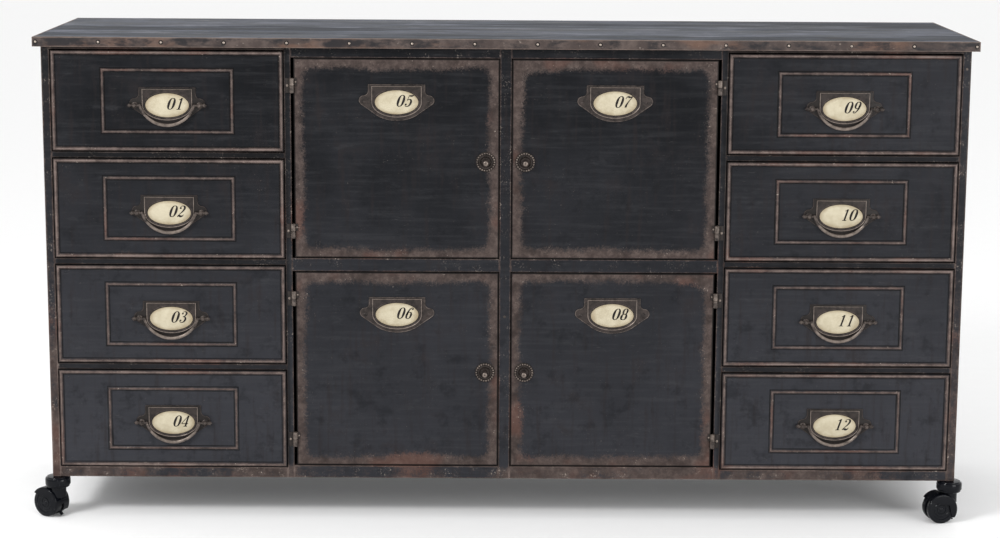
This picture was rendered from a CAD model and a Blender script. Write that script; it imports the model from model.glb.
import contextlib
import math

import bmesh
import bpy
from mathutils import Matrix, Vector


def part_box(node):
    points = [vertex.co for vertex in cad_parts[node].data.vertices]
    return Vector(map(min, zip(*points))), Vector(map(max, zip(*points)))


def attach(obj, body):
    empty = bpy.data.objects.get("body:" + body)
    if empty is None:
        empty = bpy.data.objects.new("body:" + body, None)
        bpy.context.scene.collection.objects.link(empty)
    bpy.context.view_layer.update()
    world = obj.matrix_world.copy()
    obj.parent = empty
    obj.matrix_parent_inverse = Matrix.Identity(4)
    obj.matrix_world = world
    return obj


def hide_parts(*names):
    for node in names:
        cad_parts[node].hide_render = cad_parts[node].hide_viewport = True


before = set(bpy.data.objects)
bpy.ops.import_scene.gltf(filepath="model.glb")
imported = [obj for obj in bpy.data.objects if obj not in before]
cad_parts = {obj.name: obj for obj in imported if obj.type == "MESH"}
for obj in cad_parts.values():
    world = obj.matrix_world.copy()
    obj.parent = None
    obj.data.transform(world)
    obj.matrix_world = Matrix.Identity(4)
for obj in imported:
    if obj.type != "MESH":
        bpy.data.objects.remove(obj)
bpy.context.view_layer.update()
MM = 0.001

# The frame: square corner posts, flat bars between the columns and rails between those, of steel
# tube welded at the joints. It is painted blue-black by brush, and the paint is rubbed through to
# the brown metal along every edge.
frame_low, frame_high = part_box("frame_uprights")
post_w = 14 * MM
post_x = frame_high.x - post_w / 2
tube_corner = 0.9 * MM
cad_merge = 0.01 * MM
tube_rub = 2.8 * MM
low_rail_wear = (104 * MM, 90 * MM)
post_wear = (770 * MM, 775 * MM)
drawer_columns = (368 * MM, 374 * MM, 768 * MM, 774 * MM)
above_low_rail = (94 * MM, 100 * MM)
BLUE_BLACK = (0.0038, 0.0043, 0.0055, 1)
GREY_BLACK = (0.0330, 0.0340, 0.0405, 1)
SMUDGE = (0.0440, 0.0445, 0.0480, 1)
PLUM_BLACK = (0.0150, 0.0118, 0.0122, 1)
DIRT_BLACK = (0.0030, 0.0027, 0.0027, 1)
DARK_BROWN = (0.0210, 0.0155, 0.0140, 1)
RUBBED_BROWN = (0.0440, 0.0325, 0.0295, 1)
LIGHT_BROWN = (0.0820, 0.0620, 0.0550, 1)
RUST = (0.0950, 0.0460, 0.0350, 1)
CREST_BROWN = (0.1500, 0.1150, 0.1030, 1)
PALE_CHIP = (0.3300, 0.2800, 0.2400, 1)
SCRATCH_GREY = (0.1100, 0.1050, 0.1000, 1)


class Socket:
    """A node's output in a finish. Sums and products of sockets and numbers add Math nodes."""

    def __init__(self, finish, output):
        self.finish = finish
        self.output = output

    def math(self, operation, first, second=0.0):
        return self.finish.node("Math", {"operation": operation}, {0: first, 1: second})

    def __add__(self, other):
        return self.math("ADD", self, other)

    def __radd__(self, other):
        return self.math("ADD", other, self)

    def __sub__(self, other):
        return self.math("SUBTRACT", self, other)

    def __rsub__(self, other):
        return self.math("SUBTRACT", other, self)

    def __mul__(self, other):
        return self.math("MULTIPLY", self, other)

    def __rmul__(self, other):
        return self.math("MULTIPLY", other, self)

    def size(self):
        return self.math("ABSOLUTE", self)

    def at_least(self, other):
        return self.math("MAXIMUM", self, other)

    def at_most(self, other):
        return self.math("MINIMUM", self, other)

    def step(self, low, high):
        """0 below low and 1 above high, with a smooth rise between them."""
        edges = {"From Min": low, "From Max": high, "Value": self}
        return self.finish.node("MapRange", {"interpolation_type": "SMOOTHSTEP"}, edges)

    def between(self, rise_low, rise_high, fall_low, fall_high):
        """1 from rise_high to fall_low, with a smooth rise before that and a smooth fall after it."""
        return self.step(rise_low, rise_high) * self.step(fall_high, fall_low)


class Finish:
    """A material made of nodes around one Principled shader."""

    def __init__(self, name):
        self.material = bpy.data.materials.new(name)
        self.material.use_nodes = True
        self.tree = self.material.node_tree
        self.shader = self.tree.nodes["Principled BSDF"]

    def node(self, kind, settings, sockets, output=0):
        made = self.tree.nodes.new("ShaderNode" + kind)
        for name, value in settings.items():
            setattr(made, name, value)
        for name, value in sockets.items():
            self.feed(made.inputs[name], value)
        return Socket(self, made.outputs[output])

    def feed(self, socket, value):
        if isinstance(value, Socket):
            self.tree.links.new(value.output, socket)
        else:
            socket.default_value = value

    def surface(self, sockets):
        for name, value in sockets.items():
            self.feed(self.shader.inputs[name], value)
        return self.material

    def place(self, scale=(1, 1, 1), turn=(0, 0, 0)):
        """Where a point is on the whole object, in metres, stretched and turned."""
        where = self.node("TexCoord", {}, {}, "Object")
        if tuple(scale) == (1, 1, 1) and tuple(turn) == (0, 0, 0):
            return where
        return self.node("Mapping", {}, {"Vector": where, "Scale": scale, "Rotation": turn})

    def attribute(self, name, output="Fac"):
        return self.node("Attribute", {"attribute_name": name}, {}, output)

    def x_and_z(self, vector):
        """X and Z of a vector."""
        return [self.node("SeparateXYZ", {}, {"Vector": vector}, axis) for axis in "XZ"]

    def from_middle(self):
        """X and Z of a point, counted from the middle of its own piece's face, in metres."""
        return self.x_and_z(self.attribute("from_middle", "Vector"))

    def distance(self, along, up):
        """How far off a point is that lies so far along one axis and so far up another."""
        return self.node("Math", {"operation": "SQRT"}, {0: along * along + up * up})

    def noise(self, vector, scale, detail, roughness=0.55, distortion=0.0):
        sockets = {"Vector": vector, "Scale": scale, "Detail": detail}
        sockets |= {"Roughness": roughness, "Distortion": distortion}
        return self.node("TexNoise", {}, sockets)

    def cells(self, vector, scale):
        """Distance from the nearest of many scattered points, in units of their spacing."""
        return self.node("TexVoronoi", {}, {"Vector": vector, "Scale": scale}, "Distance")

    def mix(self, factor, first, second):
        return self.node("Mix", {"data_type": "RGBA"}, {"Factor": factor, 6: first, 7: second}, 2)

    def bump(self, height, distance, strength):
        sockets = {"Height": height, "Distance": distance, "Strength": strength}
        return self.node("Bump", {}, sockets, "Normal")


def brushed_on(finish, where, clouds, low_grey):
    """The paint's colour, and how high its brush marks and its mottling stand."""
    x, z = finish.x_and_z(where)
    faded = z.step(0.80, 0.12) * low_grey + x.step(0.30, 0.70) * z.step(0.50, 0.78) * 0.36
    brush = finish.noise(finish.place((9, 9, 150), (0, 0.05, 0)), 1, 5, 0.65)
    upright = finish.noise(finish.place((110, 9, 10), (0, 0.03, 0)), 1, 4, 0.6)
    mottle = finish.noise(where, 34, 5, 0.7)
    smudge = finish.noise(finish.place((16, 16, 46), (0, 0.5, 0)), 1, 5, 0.7).step(0.56, 0.78)
    stain = finish.noise(where, 11, 5, 0.7).step(0.54, 0.74)
    paint = finish.mix(clouds * 0.15 + faded, BLUE_BLACK, GREY_BLACK)
    paint = finish.mix(brush.step(0.44, 0.72) * 0.18, paint, SMUDGE)
    paint = finish.mix(upright.step(0.50, 0.74) * 0.5, paint, PLUM_BLACK)
    paint = finish.mix(mottle.step(0.50, 0.70) * 0.45, paint, BLUE_BLACK)
    paint = finish.mix(smudge * 0.28, paint, SMUDGE)
    paint = finish.mix(stain * 0.6, paint, PLUM_BLACK)
    return paint, brush * 0.5 + mottle * 0.4


def rubbed_bare(finish, where):
    """The brown under the paint, darker in small patches and rusty in a few large ones."""
    brown = finish.mix(finish.noise(where, 90, 5, 0.75).step(0.35, 0.7), RUBBED_BROWN, LIGHT_BROWN)
    brown = finish.mix(finish.noise(where, 26, 4, 0.6).step(0.46, 0.70) * 0.75, brown, DARK_BROWN)
    return finish.mix(finish.noise(where, 8, 3, 0.6).step(0.53, 0.66) * 0.5, brown, RUST)


def worn_paint(name, rub_of, dirt_of=None, low_grey=0.65, chipped=0.38, torn=1.5):
    """Brushed-on paint, worn through to brown where rub_of(finish) is near 1, with pale chips there.
    It is greyer low down and at the upper right, and black with dirt where dirt_of(finish) is near 1.
    A high torn makes the limit of the wear ragged."""
    finish = Finish(name)
    where = finish.place()
    rub = rub_of(finish)
    ragged = finish.noise(where, 60, 6, 0.75)
    grit = finish.noise(where, 420, 3, 0.7)
    worn = (rub + (ragged - 0.5) * torn + (grit - 0.5) * 1.1).step(0.36, 0.98)
    clouds = finish.noise(where, 5.5, 5, 0.65).step(0.38, 0.66)
    paint, marks = brushed_on(finish, where, clouds, low_grey)
    crest = (rub + (ragged - 0.5) * 1.6).step(1.15, 1.9)
    brown = finish.mix(crest, rubbed_bare(finish, where), CREST_BROWN)
    chips = finish.noise(where, 310, 3, 0.75).step(1 - chipped, 1.06 - chipped)
    chips = chips * finish.noise(where, 45, 3).step(0.50, 0.66)
    chips = chips * (rub * 0.95 + 0.10).at_most(1.0)
    hair = finish.noise(finish.place((60, 700, 700), (0.4, 0.5, 0.3)), 1, 2, 0.5, 0.8).step(0.66, 0.78)
    hair = hair * finish.noise(where, 15, 3).step(0.50, 0.66) * 0.3
    colour = finish.mix(worn, paint, brown)
    colour = finish.mix(hair, colour, SCRATCH_GREY)
    colour = finish.mix(chips, colour, PALE_CHIP)
    if dirt_of:
        colour = finish.mix(dirt_of(finish), colour, DIRT_BLACK)
    return finish.surface({
        "Base Color": colour,
        "Roughness": 0.40 + worn * 0.18 + (clouds - 0.5) * 0.10 + (grit - 0.5) * 0.12,
        "Metallic": worn * 0.12,
        "Specular IOR Level": 0.09,
        "Normal": finish.bump(grit * 0.3 + marks - worn * 0.9 - chips * 0.6, 0.00014, 0.8),
    })


def activate(piece):
    """Makes one piece the only selected and the active one."""
    bpy.ops.object.select_all(action="DESELECT")
    piece.select_set(True)
    bpy.context.view_layer.objects.active = piece
    return piece


def add(primitive, **settings):
    """Adds a primitive with nothing else selected, and puts its place and size into its mesh."""
    bpy.ops.object.select_all(action="DESELECT")
    primitive(**settings)
    bpy.ops.object.transform_apply(location=True, rotation=True, scale=True)
    return bpy.context.object


def block(low, high):
    """A block between two corners."""
    low, high = Vector(low), Vector(high)
    return add(bpy.ops.mesh.primitive_cube_add, size=1, location=(low + high) / 2, scale=high - low)


@contextlib.contextmanager
def shaping(piece):
    """Edit mode on one piece, with nothing selected at the start."""
    activate(piece)
    bpy.ops.object.mode_set(mode="EDIT")
    bpy.ops.mesh.select_all(action="DESELECT")
    yield
    bpy.ops.object.mode_set(mode="OBJECT")


def pick(kind, test):
    """In edit mode, selects only the faces or edges whose middle and direction pass the test."""
    bpy.ops.mesh.select_mode(type=kind)
    bpy.ops.mesh.select_all(action="DESELECT")
    shape = bmesh.from_edit_mesh(bpy.context.edit_object.data)
    if kind == "FACE":
        for face in shape.faces:
            if test(face.calc_center_median(), face.normal):
                face.select_set(True)
    else:
        for edge in shape.edges:
            start, end = (vertex.co for vertex in edge.verts)
            if test((start + end) / 2, (end - start).normalized()):
                edge.select_set(True)
    shape.select_flush_mode()
    bmesh.update_edit_mesh(bpy.context.edit_object.data)


def modify(piece, kind, **settings):
    """Adds a modifier to a piece and applies it."""
    activate(piece)
    made = piece.modifiers.new(kind.title(), kind)
    for name, value in settings.items():
        setattr(made, name, value)
    bpy.ops.object.modifier_apply(modifier=made.name)
    return piece


def ease(piece, width, segments=2, angle=40):
    """Rounds the sharp edges of a piece."""
    return modify(
        piece, "BEVEL", width=width, segments=segments, limit_method="ANGLE",
        angle_limit=math.radians(angle), harden_normals=False,
    )


def new_piece(name, data):
    """An object with a mesh, curve, light or camera, put into the scene."""
    piece = bpy.data.objects.new(name, data)
    bpy.context.scene.collection.objects.link(piece)
    return piece


def moved(piece, place):
    """Moves a piece's mesh. The object stays at the origin."""
    piece.data.transform(Matrix.Translation(place))
    return piece


def joined(pieces):
    """Several objects made one."""
    activate(pieces[0])
    for piece in pieces[1:]:
        piece.select_set(True)
    bpy.ops.object.join()
    return pieces[0]


def mark_middle(piece):
    """Stores each point's place while the piece's middle is at the origin. Its finish reads it."""
    values = piece.data.attributes.new("from_middle", "FLOAT_VECTOR", "POINT")
    for vertex in piece.data.vertices:
        values.data[vertex.index].vector = vertex.co
    return piece


def mark_edges(piece, reach):
    """Insets the wide faces of a piece, and marks which points are on an edge, for its finish."""
    with shaping(piece):
        bpy.ops.mesh.select_mode(type="FACE")
        shape = bmesh.from_edit_mesh(piece.data)
        for face in shape.faces:
            if 2 * face.calc_area() / face.calc_perimeter() > 2.4 * reach:
                face.select_set(True)
        bmesh.update_edit_mesh(piece.data)
        bpy.ops.mesh.inset(thickness=reach, use_individual=True)
    inner = {i for face in piece.data.polygons if face.select for i in face.vertices}
    values = piece.data.attributes.new("rub", "FLOAT", "POINT")
    for vertex in piece.data.vertices:
        values.data[vertex.index].value = 0.0 if vertex.index in inner else 1.0
    return piece


def rubbed(piece, value):
    """Stores how much each point of a piece is rubbed, from 0 to 1, or one value for the whole."""
    values = piece.data.attributes.get("rub") or piece.data.attributes.new("rub", "FLOAT", "POINT")
    for vertex in piece.data.vertices:
        values.data[vertex.index].value = value(vertex.co) if callable(value) else value
    return piece


def copied(piece, place=(0, 0, 0), turn=0.0, flip=False):
    """A copy of a modelled piece with its own mesh, mirrored if told, turned about Z, then moved."""
    copy = new_piece(piece.name, piece.data.copy())
    if flip:
        copy.data.transform(Matrix.Scale(-1, 4, (1, 0, 0)))
        copy.data.flip_normals()
    copy.data.transform(Matrix.Rotation(turn, 4, "Z"))
    return moved(copy, place)


def removed(*pieces):
    """Deletes the model that the copies were made from."""
    for piece in pieces:
        bpy.data.objects.remove(piece)


def painted(piece, finish):
    """Gives a piece one finish."""
    piece.data.materials.clear()
    piece.data.materials.append(finish)
    return piece


def fit(piece, name, body, finish, nodes=()):
    """Names a finished piece, gives it a finish if told, and puts it in the place of CAD nodes."""
    piece.name = piece.data.name = name
    activate(piece)
    bpy.ops.object.shade_smooth_by_angle(angle=math.radians(32))
    if finish:
        painted(piece, finish)
    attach(piece, body)
    if nodes:
        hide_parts(*nodes)
    return piece


def from_node(node, reach=0.0, corner=0.0):
    """A copy of a CAD node, its loose triangles merged, with marked and rounded edges."""
    piece = activate(new_piece(node + "_copy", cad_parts[node].data.copy()))
    bpy.ops.mesh.customdata_custom_splitnormals_clear()
    with shaping(piece):
        bpy.ops.mesh.select_all(action="SELECT")
        bpy.ops.mesh.remove_doubles(threshold=cad_merge)
        bpy.ops.mesh.dissolve_limited(angle_limit=math.radians(1))
    if reach:
        mark_edges(piece, reach)
    if corner:
        ease(piece, corner)
    return piece


def frame_rub(finish):
    """Rubbed along every edge, in patches over the rails at the floor, and over the corner posts."""
    x, z = finish.x_and_z(finish.place())
    patch = finish.noise(finish.place((1, 1, 0.6)), 5.0, 4, 0.6)
    low_rail = z.step(*low_rail_wear) * (0.22 + patch.step(0.40, 0.58) * 0.55)
    outer = x.size().step(*post_wear)
    post = outer * (0.10 + z.step(0.70, 0.10) * 0.45 + patch.step(0.50, 0.62) * 0.5)
    return finish.attribute("rub") * 0.78 + low_rail.at_least(post) + 0.16


def frame_dirt(finish):
    """Dirt has settled on the rails between the drawers and on the dividers beside them."""
    x, z = finish.x_and_z(finish.place())
    columns = x.size().between(*drawer_columns) * z.step(*above_low_rail)
    return columns * (finish.noise(finish.place(), 12, 4, 0.6).step(0.30, 0.60) * 0.3 + 0.3)


frame_paint = worn_paint("frame_paint", frame_rub, frame_dirt, low_grey=0.45, chipped=0.43)
for node in ("frame_uprights", "front_rails", "rear_and_side_rails"):
    piece = from_node(node, tube_rub, tube_corner)
    fit(piece, node + "_steel", "case", frame_paint, [node])

# The sheets of the case: two sides, the back, the floor, three upright partitions and the floors of
# the compartments, of 1.2 mm steel, spot welded to the frame. They are painted like the frame, and
# the outer ones are a little uneven, as thin sheet is.
sheet_wave = 0.35 * MM
sheet_wave_size = 160 * MM
sheet_rub = 14 * MM
sheet_cuts = 9


def uneven(piece, depth, size, axis, seed=0):
    """Moves the points of a piece along one axis by a soft pattern, which an odd seed makes finer."""
    pattern = bpy.data.textures.new("sheet", "CLOUDS")
    pattern.noise_scale = size
    pattern.noise_depth = 1 + seed % 2
    return modify(
        piece, "DISPLACE", texture=pattern, texture_coords="LOCAL", direction=axis,
        mid_level=0.5, strength=depth,
    )


def spread_over(finish):
    """A little general wear for surfaces that aren't rubbed along an edge."""
    return finish.noise(finish.place(), 3.2, 3).step(0.5, 0.8) * 0.35


sheet_paint = worn_paint("sheet_paint", spread_over)
side_paint = worn_paint("side_paint", lambda finish: finish.attribute("rub") * 0.6 + 0.08)
for node, axis in (("side_panels", "X"), ("back_panel", "Y")):
    piece = from_node(node)
    mark_edges(piece, sheet_rub)
    with shaping(piece):
        bpy.ops.mesh.select_all(action="SELECT")
        bpy.ops.mesh.subdivide(number_cuts=sheet_cuts)
    uneven(piece, sheet_wave, sheet_wave_size, axis)
    fit(piece, node + "_sheet", "case", side_paint, [node])
for node in ("floor_panel", "partitions", "door_shelves"):
    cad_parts[node].data.materials[0] = sheet_paint

# Sixteen angle runners of bare steel that the trays slide on, and the four catches behind the
# middle bar, which are black plastic cases with a magnet that holds the closed door.
catch_corner = 1.2 * MM
BARE_STEEL = (0.36, 0.35, 0.33, 1)
DULL_STEEL = (0.20, 0.195, 0.19, 1)
BROWN_BLOOM = (0.10, 0.065, 0.045, 1)
DUST = (0.04, 0.04, 0.04, 1)
SCUFF = (0.07, 0.07, 0.075, 1)
CATCH_BLACK = (0.012, 0.012, 0.013, 1)


def bare_steel(name):
    """Rolled steel left bare, with rubbing lines along its length and a brown bloom."""
    finish = Finish(name)
    lines = finish.noise(finish.place((300, 6, 300)), 1, 4, 0.6)
    bloom = finish.noise(finish.place(), 14, 5, 0.7).step(0.52, 0.72)
    steel = finish.mix(lines, BARE_STEEL, DULL_STEEL)
    return finish.surface({
        "Base Color": finish.mix(bloom * 0.7, steel, BROWN_BLOOM),
        "Roughness": 0.34 + lines * 0.14 + bloom * 0.25,
        "Metallic": 0.92 - bloom * 0.6,
        "Normal": finish.bump(lines, 0.00004, 0.5),
    })


def moulded_black(name, colour, roughness):
    """Moulded black plastic, with a fine grain, a few scuffs and dust in the low places."""
    finish = Finish(name)
    where = finish.place()
    fine = finish.noise(where, 900, 2, 0.6)
    scuffs = finish.noise(finish.place((420, 420, 60), (0.5, 0.2, 0.9)), 1, 3).step(0.62, 0.72)
    scuffs = scuffs * finish.noise(where, 55, 2).step(0.48, 0.62)
    dust = finish.noise(where, 28, 4, 0.6).step(0.50, 0.80)
    grey = finish.mix(dust * 0.12, colour, DUST)
    return finish.surface({
        "Base Color": finish.mix(scuffs * 0.3, grey, SCUFF),
        "Specular IOR Level": 0.14,
        "Roughness": roughness + scuffs * 0.25 + dust * 0.10 + (fine - 0.5) * 0.06,
        "Normal": finish.bump(fine, 0.00003, 0.4),
    })


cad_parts["drawer_runners"].data.materials[0] = bare_steel("runner_steel")
catches = from_node("door_catches", corner=catch_corner)
catch_black = moulded_black("catch_black", CATCH_BLACK, 0.42)
fit(catches, "door_catches_moulded", "case", catch_black, ["door_catches"])

# The top: one board of solid wood in a nailed metal band. It is painted blue-black, and the grain
# shows through as long streaks, with dents and brown rubbed edges.
board_cuts = (96, 26)
board_rub = 7 * MM
dent_depth, dent_size = 0.9 * MM, 110 * MM
ripple_depth, ripple_size = 0.5 * MM, 30 * MM
DEEP_BLUE = (0.010, 0.013, 0.019, 1)
DULL_BLUE = (0.032, 0.038, 0.050, 1)
STROKE_BLUE = (0.125, 0.134, 0.165, 1)
WORN_BLUE = (0.185, 0.195, 0.235, 1)
DARK_GRAIN = (0.012, 0.0125, 0.016, 1)
DARK_MOTTLE = (0.014, 0.016, 0.022, 1)
DARK_BOARD = (0.012, 0.015, 0.020, 1)
PALE_PORE = (0.12, 0.11, 0.11, 1)
BROWN_WOOD = (0.045, 0.034, 0.030, 1)
BARE_EDGE = (0.150, 0.105, 0.085, 1)


def painted_wood(name):
    """Paint brushed over open grain that runs along X, rubbed on the ridges and at the edges."""
    finish = Finish(name)
    where = finish.place()
    sway = finish.node("CombineXYZ", {}, {"Y": finish.noise(finish.place((1.1, 3.5, 3.5)), 1, 3, 0.5)})
    swayed = {0: sway, 1: (1, 1.6, 1), 2: finish.place((2.6, 60, 60))}
    bent = finish.node("VectorMath", {"operation": "MULTIPLY_ADD"}, swayed)
    grain = finish.noise(bent, 1.0, 6, 0.62)
    pores = finish.noise(finish.place((9, 520, 520)), 1, 3, 0.6)
    strokes = finish.noise(finish.place((3.0, 26, 26), (0, 0, 0.02)), 1, 9, 0.82)
    mottle = finish.noise(finish.place((8, 21, 21), (0, 0, 0.04)), 1, 6, 0.75)
    boards = finish.noise(finish.place((1.3, 9, 9), (0, 0, 0.03)), 1, 4, 0.6)
    patches = finish.noise(where, 3.4, 5, 0.65)
    brown = finish.noise(where, 9, 5, 0.7)
    ragged = finish.noise(where, 36, 5, 0.7)
    edge = (finish.attribute("rub") * 0.9 + (ragged - 0.5) * 1.1).step(0.55, 0.75)
    wood = finish.mix(patches.step(0.35, 0.68), DEEP_BLUE, DULL_BLUE)
    wood = finish.mix(strokes.step(0.42, 0.60) * 0.85, wood, STROKE_BLUE)
    wood = finish.mix(mottle.step(0.48, 0.36) * 0.55, wood, WORN_BLUE)
    wood = finish.mix(mottle.step(0.53, 0.63) * 0.6, wood, DARK_MOTTLE)
    wood = finish.mix(grain.step(0.50, 0.66) * 0.75, wood, DARK_GRAIN)
    wood = finish.mix(boards.step(0.46, 0.60) * 0.6, wood, DARK_BOARD)
    wood = finish.mix(pores.step(0.60, 0.72) * 0.35, wood, PALE_PORE)
    wood = finish.mix(brown.step(0.60, 0.74) * 0.5, wood, BROWN_WOOD)
    dull = strokes.step(0.35, 0.65) * 0.30 + boards.step(0.40, 0.60) * 0.12
    return finish.surface({
        "Base Color": finish.mix(edge, wood, BARE_EDGE),
        "Roughness": 0.40 + dull + edge * 0.1,
        "Specular IOR Level": 0.12,
        "Normal": finish.bump(grain * 0.6 + pores * 0.25 + strokes * 0.4, 0.0009, 0.6),
    })


low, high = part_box("top_board")
board = block(low, high)
mark_edges(board, board_rub)
with shaping(board):
    pick("EDGE", lambda middle, way: abs(way.x) > 0.99)
    bpy.ops.mesh.subdivide(number_cuts=board_cuts[0])
    pick("EDGE", lambda middle, way: abs(way.y) > 0.99 and middle.z > high.z - MM)
    bpy.ops.mesh.subdivide(number_cuts=board_cuts[1])
uneven(board, dent_depth, dent_size, "Z", 1)
uneven(board, ripple_depth, ripple_size, "Z", 0)
fit(board, "top_wood", "case", painted_wood("top_paint"), ["top_board"])

# The band round the top's edge: strip steel bent round the board, once painted and now mostly
# brown, with dark patches and bright edges. Domed nails hold it, 16 in front and 5 at each end.
band_rub = 3 * MM
band_corner = 0.35 * MM
band_cuts = 60
band_wave, band_wave_size = 0.5 * MM, 50 * MM
nail_r, nail_h = 2.6 * MM, 1.4 * MM
nail_dirt_w, nail_dirt_h = 1.3 * MM, 0.25 * MM
nails_front = 16
nails_side = 5
nail_end = 6 * MM
head_sink, dirt_sink = 0.3 * MM, 0.2 * MM
turned_merge = 0.005 * MM
RUST_STREAK = (0.130, 0.070, 0.046, 1)
OLD_PAINT = (0.010, 0.010, 0.012, 1)
BAND_EDGE = (0.155, 0.118, 0.098, 1)
BRONZE_DARK = (0.012, 0.0095, 0.0085, 1)
BRONZE_BROWN = (0.040, 0.0305, 0.0270, 1)
BRONZE_BRIGHT = (0.25, 0.205, 0.175, 1)
NAIL_DARK = (0.004, 0.0036, 0.0034, 1)
NAIL_BRIGHT = (0.28, 0.235, 0.20, 1)


def worn_strip(name):
    """Brown steel with what is left of its dark paint, and bright edges."""
    finish = Finish(name)
    where = finish.place()
    rub = finish.attribute("rub")
    left = finish.noise(finish.place((1, 1, 2.2)), 15, 5, 0.70).step(0.44, 0.60)
    grit = finish.noise(where, 380, 3, 0.7)
    tone = finish.noise(where, 34, 5, 0.65)
    rust = finish.noise(finish.place((1, 1, 3)), 5.5, 4, 0.6).step(0.52, 0.66)
    edge = (rub + (tone - 0.5) * 0.9).step(0.55, 0.95)
    brown = finish.mix(tone.step(0.40, 0.70), RUBBED_BROWN, LIGHT_BROWN)
    brown = finish.mix(rust * 0.55, brown, RUST_STREAK)
    brown = finish.mix(finish.noise(where, 150, 3).step(0.64, 0.76) * 0.4, brown, PALE_CHIP)
    colour = finish.mix(left * (1 - rub * 0.6) * 0.9, brown, OLD_PAINT)
    return finish.surface({
        "Base Color": finish.mix(edge * 0.8, colour, BAND_EDGE),
        "Roughness": 0.50 + grit * 0.14 - left * 0.06,
        "Metallic": 0.15,
        "Specular IOR Level": 0.22,
        "Normal": finish.bump(grit * 0.4 + tone * 0.8 + left * 0.3, 0.00025, 0.8),
    })


def old_bronze(name, dark=BRONZE_DARK, bright=BRONZE_BRIGHT):
    """Dark bronze paint on cast metal, brown where it is handled and light on the high edges."""
    finish = Finish(name)
    rub = finish.attribute("rub")
    tone = finish.noise(finish.place(), 120, 4, 0.65)
    grit = finish.noise(finish.place(), 900, 2, 0.6)
    light = (rub + (tone - 0.5) * 0.55).step(0.42, 1.0)
    middle = finish.mix(rub.step(0.0, 0.3), dark, BRONZE_BROWN)
    colour = finish.mix(light, finish.mix(tone.step(0.30, 0.60), dark, middle), bright)
    return finish.surface({
        "Base Color": colour,
        "Roughness": 0.44 - light * 0.16 + (grit - 0.5) * 0.15,
        "Metallic": 0.15 + light * 0.45,
        "Specular IOR Level": 0.22,
        "Normal": finish.bump(tone * 0.6 + grit * 0.3, 0.00015, 0.7),
    })


def cleaned(piece, merge=0.0):
    """Merges points of a piece that lie this near, if told, and turns its faces outwards."""
    with shaping(piece):
        bpy.ops.mesh.select_all(action="SELECT")
        if merge:
            bpy.ops.mesh.remove_doubles(threshold=merge)
        bpy.ops.mesh.normals_make_consistent(inside=False)
    return piece


def turned(profile, steps):
    """A turned piece: a profile of (radius, height) points spun round Y, with height along -Y."""
    mesh = bpy.data.meshes.new("turned")
    points = [(radius, -height, 0) for radius, height in profile]
    mesh.from_pydata(points, [(i, i + 1) for i in range(len(points) - 1)], [])
    piece = new_piece("turned", mesh)
    with shaping(piece):
        bpy.ops.mesh.select_all(action="SELECT")
        bpy.ops.mesh.spin(steps=steps, angle=math.tau, center=(0, 0, 0), axis=(0, 1, 0))
    return cleaned(piece, turned_merge)


def arc(middle, radius, start, end, steps):
    """Points on an arc, its angles in degrees counted from the first axis."""
    angles = [math.radians(start + (end - start) * i / steps) for i in range(steps + 1)]
    return [(middle[0] + radius * math.cos(a), middle[1] + radius * math.sin(a)) for a in angles]


def dome(radius, rise, sink=head_sink):
    """The closed profile of a domed head, sunk a little into what it sits on."""
    bow = (radius**2 + rise**2) / (2 * rise)
    edge = math.degrees(math.asin((bow - rise) / bow))
    return [(0, -sink), (radius, -sink)] + arc((0, rise - bow), bow, edge, 90, 6)


band = from_node("top_edge_band", band_rub, band_corner)
with shaping(band):
    pick("EDGE", lambda middle, way: abs(way.x) > 0.99 or abs(way.y) > 0.99)
    bpy.ops.mesh.subdivide(number_cuts=band_cuts)
uneven(band, band_wave, band_wave_size, "Y", 1)
fit(band, "top_band_strip", "case", worn_strip("band_brown"), ["top_edge_band"])

head = rubbed(turned(dome(nail_r, nail_h), 20), lambda place: 1.0 if -place.y > 0.3 * nail_h else 0.0)
dirt = rubbed(turned(dome(nail_r + nail_dirt_w, nail_dirt_h, dirt_sink), 20), 0.0)
nail = joined([head, dirt])
low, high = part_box("top_edge_band")
nail_z = (low.z + high.z) / 2
front_step = (high.x - low.x - 2 * nail_end) / (nails_front - 1)
side_step = (high.y - low.y - 2 * nail_end) / nails_side
places = [((low.x + nail_end + i * front_step, low.y, nail_z), 0) for i in range(nails_front)]
for i in range(1, nails_side + 1):
    y = low.y + nail_end + i * side_step
    places += [((low.x, y, nail_z), -math.pi / 2), ((high.x, y, nail_z), math.pi / 2)]
nails = joined([copied(nail, place, turn) for place, turn in places])
removed(nail)
nail_finish = old_bronze("nail_bronze", NAIL_DARK, NAIL_BRIGHT)
fit(nails, "band_nail_heads", "case", nail_finish, ["band_nails"])

# Two domed rivets of the frame that show in front, one high on the right post and one on the middle
# bar. They are steel, painted with the frame and rubbed bright.
rivet_r, rivet_h = 2.4 * MM, 1.3 * MM
rivet_rub = 0.55
post_rivet_z = 796 * MM
bar_rivet_z = 363 * MM

rivet = turned(dome(rivet_r, rivet_h), 20)
places = [(post_x, frame_low.y, post_rivet_z), (0, frame_low.y, bar_rivet_z)]
rivets = joined([rubbed(copied(rivet, place), rivet_rub) for place in places])
removed(rivet)
fit(rivets, "frame_rivets", "case", nail_finish)

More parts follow.
